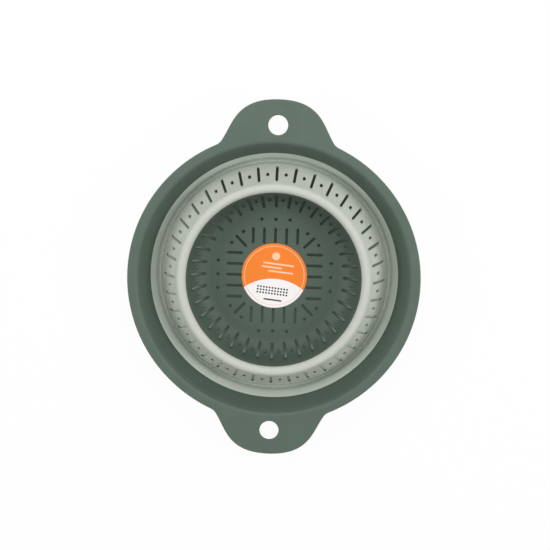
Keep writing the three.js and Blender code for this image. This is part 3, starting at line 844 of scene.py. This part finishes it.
class Finish:
    """A material, with short ways to add nodes to it. Patterns follow the place on the piece, in metres."""

    def __init__(self, name):
        self.material = bpy.data.materials.new(name)
        self.material.use_nodes = True
        self.tree = self.material.node_tree
        self.shader = self.tree.nodes["Principled BSDF"]
        self.place = self.add("ShaderNodeTexCoord", {}).outputs["Object"]

    def add(self, kind, inputs, **settings):
        """A node. Each of its inputs is a value, or another node's output."""
        node = self.tree.nodes.new(kind)
        for name, value in settings.items():
            setattr(node, name, value)
        for name, value in inputs.items():
            self.give(node, name, value)
        return node

    def give(self, node, name, value):
        if isinstance(value, bpy.types.NodeSocket):
            self.tree.links.new(value, node.inputs[name])
        else:
            node.inputs[name].default_value = value

    def shade(self, inputs):
        for name, value in inputs.items():
            self.give(self.shader, name, value)

    def calculate(self, operation, *values):
        return self.add("ShaderNodeMath", dict(enumerate(values)), operation=operation).outputs[0]

    def spread(self, value, start, end, low, high, **settings):
        """The value's way from start to end, spread from low to high and held there beyond both."""
        inputs = {"Value": value, "From Min": start, "From Max": end, "To Min": low, "To Max": high}
        return self.add("ShaderNodeMapRange", inputs, **settings).outputs[0]

    def distance_from(self, spot):
        inputs = {0: self.place, 1: spot}
        return self.add("ShaderNodeVectorMath", inputs, operation="DISTANCE").outputs["Value"]

    def reach_toward(self, direction):
        inputs = {0: self.place, 1: direction}
        return self.add("ShaderNodeVectorMath", inputs, operation="DOT_PRODUCT").outputs["Value"]

    def noise(self, size, detail):
        inputs = {"Vector": self.place, "Scale": 1 / size, "Detail": detail}
        return self.add("ShaderNodeTexNoise", inputs).outputs["Fac"]

    def blend(self, share, first, second):
        """The first colour, turning into the second as the share goes from 0 to 1."""
        first, second = [
            colour if isinstance(colour, bpy.types.NodeSocket) else (*colour, 1)
            for colour in (first, second)
        ]
        inputs = {"Factor": share, "A": first, "B": second}
        return self.add("ShaderNodeMix", inputs, data_type="RGBA").outputs["Result"]

    def mottled(self, size, first, second):
        """A colour that drifts between two others in clouds of a size."""
        share = self.spread(self.noise(size, CLOUD_DETAIL), NOISE_LOW, NOISE_HIGH, 0, 1)
        return self.blend(share, first, second)

    def relief(self, *layers):
        """Bumps of several noises, each given by its size, detail and height."""
        normal = None
        for size, detail, height in layers:
            inputs = {"Height": self.noise(size, detail), "Distance": height}
            if normal:
                inputs["Normal"] = normal
            normal = self.add("ShaderNodeBump", inputs).outputs["Normal"]
        self.shade({"Normal": normal})

    def dull(self, noise, roughness_range):
        self.shade({"Roughness": self.spread(noise, NOISE_LOW, NOISE_HIGH, *roughness_range)})


def moulded_plastic():
    finish = Finish("green_plastic")
    colour = finish.mottled(PLASTIC_CLOUD_SIZE, PLASTIC_DARK, PLASTIC_LIGHT)
    waves = finish.noise(PLASTIC_WAVE_SIZE, CLOUD_DETAIL)
    # Painted light: paler in patches toward the rim's top, so that the flange looks lit more than the skirt
    # below
    painted_light_patches = finish.spread(waves, NOISE_LOW, NOISE_HIGH, *PLASTIC_PAINTED_LIGHT_SHARES)
    painted_light_rise = finish.spread(finish.reach_toward(UP), *PLASTIC_PAINTED_LIGHT_HEIGHTS, 0, 1)
    painted_light_share = finish.calculate("MULTIPLY", painted_light_patches, painted_light_rise)
    finish.shade({
        "Base Color": finish.blend(painted_light_share, colour, PLASTIC_PAINTED_LIGHT),
        "Specular IOR Level": PLASTIC_GLOSS,
    })
    finish.dull(waves, PLASTIC_ROUGHNESS_RANGE)
    finish.relief(
        (PLASTIC_GRAIN_SIZE, GRAIN_DETAIL, PLASTIC_GRAIN_HEIGHT),
        (PLASTIC_WAVE_SIZE, GRAIN_DETAIL, PLASTIC_WAVE_HEIGHT),
    )
    return finish.material


def soft_rubber():
    finish = Finish("pale_rubber")
    colour = finish.mottled(RUBBER_CLOUD_SIZE, RUBBER_DARK, RUBBER_LIGHT)
    # Painted shade: darker low down, at the bottom of the fold
    out_of_painted_shade = finish.spread(finish.reach_toward(UP), *RUBBER_PAINTED_SHADE_HEIGHTS, 0, 1)
    colour = finish.blend(out_of_painted_shade, RUBBER_PAINTED_SHADE, colour)
    from_axis = finish.distance_from((0, 0, CROWN_HEIGHT))
    crown = finish.spread(from_axis, *RUBBER_CROWN_RADII, 1, 0)
    finish.shade({
        "Base Color": finish.blend(crown, colour, RUBBER_CROWN),
        "Specular IOR Level": RUBBER_GLOSS,
        "Subsurface Weight": RUBBER_GLOW_THROUGH,
        "Subsurface Radius": RUBBER_LIGHT_SHARES,
        "Subsurface Scale": RUBBER_LIGHT_REACH,
    })
    finish.dull(finish.noise(RUBBER_WAVE_SIZE, CLOUD_DETAIL), RUBBER_ROUGHNESS_RANGE)
    finish.relief(
        (RUBBER_GRAIN_SIZE, GRAIN_DETAIL, RUBBER_GRAIN_HEIGHT),
        (RUBBER_WAVE_SIZE, GRAIN_DETAIL, RUBBER_WAVE_HEIGHT),
    )
    return finish.material


class Print(Finish):
    """Plain printed shapes on paper. Each shape is a share of 1 inside and 0 outside."""

    def __init__(self, name):
        super().__init__(name)
        turned = self.add("ShaderNodeMapping", {"Vector": self.place, "Rotation": (0, 0, PRINT_TURN)})
        apart = self.add("ShaderNodeSeparateXYZ", {"Vector": turned.outputs[0]})
        self.across, self.up = apart.outputs["X"], apart.outputs["Y"]
        self.colour = PRINT_WHITE

    def within(self, distance, reach):
        return self.spread(distance, reach - PRINT_SOFTNESS, reach + PRINT_SOFTNESS, 1, 0)

    def offsets(self, centre):
        return [self.calculate("SUBTRACT", *pair) for pair in zip((self.across, self.up), centre)]

    def length(self, offsets):
        squares = [self.calculate("MULTIPLY", offset, offset) for offset in offsets]
        return self.calculate("SQRT", self.calculate("ADD", *squares))

    def disc(self, centre, radius):
        return self.within(self.length(self.offsets(centre)), radius)

    def ring(self, radius, half_width):
        distance = self.length([self.across, self.up])
        return self.strip(self.calculate("SUBTRACT", distance, radius), half_width)

    def strip(self, offset, reach):
        return self.within(self.calculate("ABSOLUTE", offset), reach)

    def bar(self, centre, half_length, half_height):
        offsets = zip(self.offsets(centre), (half_length, half_height))
        return self.calculate("MULTIPLY", *[self.strip(offset, reach) for offset, reach in offsets])

    def dot_field(self, centre, half_length, half_height, pitch, radius):
        """Rows of dots that fill a bar."""
        ends = (pitch / 2, -pitch / 2)
        offsets = [self.calculate("WRAP", offset, *ends) for offset in self.offsets(centre)]
        dots = self.within(self.length(offsets), radius)
        return self.calculate("MULTIPLY", dots, self.bar(centre, half_length, half_height))

    def ink(self, share, colour):
        self.colour = self.blend(share, self.colour, colour)


def printed_paper():
    finish = Print("label_paper")
    hill = finish.disc(HILL_CENTRE, HILL_RADIUS)
    finish.ink(finish.calculate("SUBTRACT", 1, hill), PRINT_ORANGE)
    finish.ink(finish.ring(PRINT_RING_RADIUS, PRINT_RING_HALF_WIDTH), PRINT_PALE)
    finish.ink(finish.disc(SUN_CENTRE, SUN_RADIUS), PRINT_PALE)
    for centre, half_length in PALE_BARS:
        finish.ink(finish.bar(centre, half_length, BAR_HALF_HEIGHT), PRINT_PALE)
    field = finish.dot_field(
        DOT_FIELD_CENTRE, DOT_FIELD_HALF_LENGTH, DOT_FIELD_HALF_HEIGHT,
        DOT_FIELD_PITCH, DOT_FIELD_DOT_RADIUS,
    )
    finish.ink(field, PRINT_GREY)
    grey_centre, grey_half_length = GREY_BAR
    finish.ink(finish.bar(grey_centre, grey_half_length, BAR_HALF_HEIGHT), PRINT_GREY)
    finish.shade({"Base Color": finish.colour, "Specular IOR Level": PAPER_GLOSS})
    finish.dull(finish.noise(PAPER_CLOUD_SIZE, CLOUD_DETAIL), PAPER_ROUGHNESS_RANGE)
    finish.relief((PAPER_FIBRE_SIZE, GRAIN_DETAIL, PAPER_FIBRE_HEIGHT))
    return finish.material


def camera():
    data = bpy.data.cameras.new("camera")
    data.lens = CAMERA_LENS
    data.sensor_width = CAMERA_SENSOR
    view = bpy.data.objects.new("camera", data)
    bpy.context.scene.collection.objects.link(view)
    away = (CAMERA_PLACE - CAMERA_AIM).normalized()
    across = Vector(BACK).cross(away).normalized()
    turned = Matrix((across, away.cross(across), away)).transposed().to_4x4()
    rolled = Matrix.Rotation(CAMERA_ROLL, SPACE_MATRIX, "Z")
    view.matrix_world = Matrix.Translation(CAMERA_PLACE) @ turned @ rolled
    bpy.context.scene.camera = view


def seen_directly(tree):
    """1 for rays that show the background: from the camera, in gloss and through clear things."""
    path = tree.nodes.new("ShaderNodeLightPath")
    total = path.outputs["Is Camera Ray"]
    for name in ("Is Glossy Ray", "Is Transmission Ray"):
        add = tree.nodes.new("ShaderNodeMath")
        add.operation = "MAXIMUM"
        tree.links.new(total, add.inputs[0])
        tree.links.new(path.outputs[name], add.inputs[1])
        total = add.outputs[0]
    return total


def sky():
    world = bpy.data.worlds.new("sky")
    bpy.context.scene.world = world
    world.use_nodes = True
    tree = world.node_tree
    shown = tree.nodes.new("ShaderNodeMapRange")
    shown.inputs["To Min"].default_value = SKY_STRENGTH
    shown.inputs["To Max"].default_value = 1
    tree.links.new(seen_directly(tree), shown.inputs["Value"])
    background = tree.nodes["Background"]
    background.inputs["Color"].default_value = (*WHITE, 1)
    tree.links.new(shown.outputs[0], background.inputs["Strength"])


def softbox(name, side, height_angle, distance, power):
    """A square lamp that faces the object from a side, at an angle above the floor."""
    data = bpy.data.lights.new(name, "AREA")
    data.size = SOFTBOX_SIZE
    data.energy = power
    lamp = bpy.data.objects.new(name, data)
    direction = Vector(side) * math.cos(height_angle) + Vector(UP) * math.sin(height_angle)
    lamp.location = direction * distance
    lamp.rotation_euler = (-lamp.location).to_track_quat("-Z", "Y").to_euler()
    bpy.context.scene.collection.objects.link(lamp)


def lamps():
    softbox("key_light", BACK, KEY_LIGHT_ANGLE, KEY_LIGHT_DISTANCE, KEY_LIGHT_POWER)
    softbox("right_light", RIGHT, LOW_LIGHT_ANGLE, LIGHT_DISTANCE, RIGHT_LIGHT_POWER)
    softbox("left_light", LEFT, LOW_LIGHT_ANGLE, LIGHT_DISTANCE, LEFT_LIGHT_POWER)


def floor():
    """A white floor. The camera sees it almost pure white, and darker through the holes in the colander."""
    bpy.ops.mesh.primitive_plane_add(size=FLOOR_SIZE, location=(0, 0, -FLOOR_DROP))
    plane = bpy.context.object
    plane.name = "floor"
    finish = Finish("floor_white")
    radius = finish.distance_from(ORIGIN)
    soft = {"interpolation_type": "SMOOTHSTEP"}
    lit = finish.spread(radius, *SHADE_RADII, 0, 1, **soft)
    colour = finish.blend(lit, SHADE_COLOUR, FLOOR_COLOUR)
    finish.shade({"Base Color": colour, "Roughness": FLOOR_ROUGHNESS})
    open_share = finish.spread(radius, *FLOOR_GLOW_RADII, 0, 1, **soft)
    open_glow = finish.calculate("MULTIPLY", open_share, FLOOR_GLOW_SHARE)
    covered_glow, covered_tint = glow_under_colander(finish)
    glow = finish.calculate("MAXIMUM", open_glow, covered_glow)
    share = finish.calculate("MULTIPLY", glow, seen_directly(finish.tree))
    tint = finish.blend(open_share, covered_tint, WHITE)
    light = finish.add("ShaderNodeEmission", {"Color": tint}).outputs[0]
    mix = finish.add("ShaderNodeMixShader", {0: share, 1: finish.shader.outputs[0], 2: light})
    finish.give(finish.tree.nodes["Material Output"], "Surface", mix.outputs[0])
    plane.data.materials.append(finish.material)


def glow_under_colander(finish):
    """The floor's glow and tint: faint under the bowl, and under the wall stronger off the shade side."""
    back = finish.reach_toward(BACK)
    bowl_glow = finish.spread(back, *UNDER_BOWL_GLOW_REACH, *UNDER_BOWL_GLOW_RANGE)
    shade_side = finish.reach_toward(UNDER_WALL_SHADE_SIDE)
    wall_side = finish.spread(shade_side, *UNDER_WALL_GLOW_REACH, *UNDER_WALL_GLOW_RANGE)
    wall_radius = finish.distance_from(UNDER_WALL_GLOW_CENTRE)
    wall_ring = finish.spread(wall_radius, *UNDER_WALL_GLOW_RADII, 0, 1)
    front_shade = finish.spread(back, *FRONT_SHADE_REACH, *FRONT_SHADE_RANGE)
    wall_share = finish.calculate("MULTIPLY", wall_ring, front_shade)
    wall_glow = finish.calculate("MULTIPLY", wall_side, wall_share)
    tint = finish.blend(wall_ring, UNDER_BOWL_GLOW_COLOUR, UNDER_WALL_GLOW_COLOUR)
    return finish.calculate("MAXIMUM", wall_glow, bowl_glow), tint


def rides(piece, body, node):
    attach(piece, body)
    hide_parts(node)


bpy.context.scene.view_settings.view_transform = "Standard"
camera()
sky()
lamps()
floor()

green = moulded_plastic()
pale = soft_rubber()
paper = printed_paper()

rides(rim_frame(green), "rim", "rim_frame")
rides(fold_ring(pale), "rim", "upper_fold_ring")
rides(soft_lip(pale), "bowl", "lip_ring")
rides(base_bowl(green), "bowl", "base_bowl")
rides(paper_label(paper), "bowl", "label")

band = soft_band(pale)
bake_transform(band)
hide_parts("folding_band")
